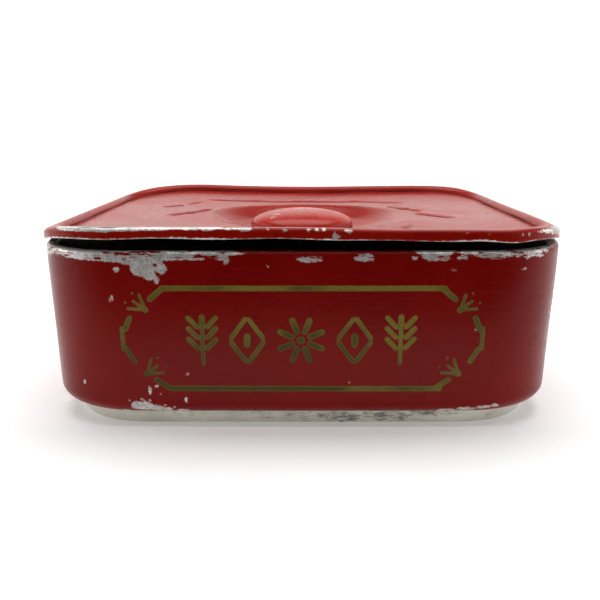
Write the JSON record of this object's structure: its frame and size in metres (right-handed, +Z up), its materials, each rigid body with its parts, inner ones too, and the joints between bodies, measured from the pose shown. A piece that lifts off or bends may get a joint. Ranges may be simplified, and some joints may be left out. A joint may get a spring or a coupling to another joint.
{
  "type": "biscuit tin",
  "caption": "Low rectangular lidded biscuit tin with large rounded corners, a recessed foot and a lift-off lid with a round knob in a finger dish.",
  "frame": {"origin": "centre of the foot's resting plane", "axes": "+X along the tin's long side, +Y to the back where the wall's lock seam is, +Z up out of the mouth"},
  "size_m": [0.283, 0.2516, 0.1077],
  "materials": {
    "red_lacquer": "gloss lacquer, chipped at the edges",
    "knob_lacquer": "gloss lacquer",
    "bare_tinplate": "dull bare tinplate with dark stains",
    "wire_steel": "plain steel"
  },
  "bodies": {
    "tin": {"body_wall": "red_lacquer", "base_pan": "bare_tinplate", "rim_wire": "wire_steel"},
    "lid": {"lid_pressing": "red_lacquer", "knob_cap": "knob_lacquer", "knob_backing": "bare_tinplate", "knob_rivet": "wire_steel"}
  },
  "joints": [
    {"name": "lid_lift", "type": "slide", "parent": "tin", "child": "lid", "axis": [0, 0, 1], "range_m": [0, 0.12]}
  ]
}
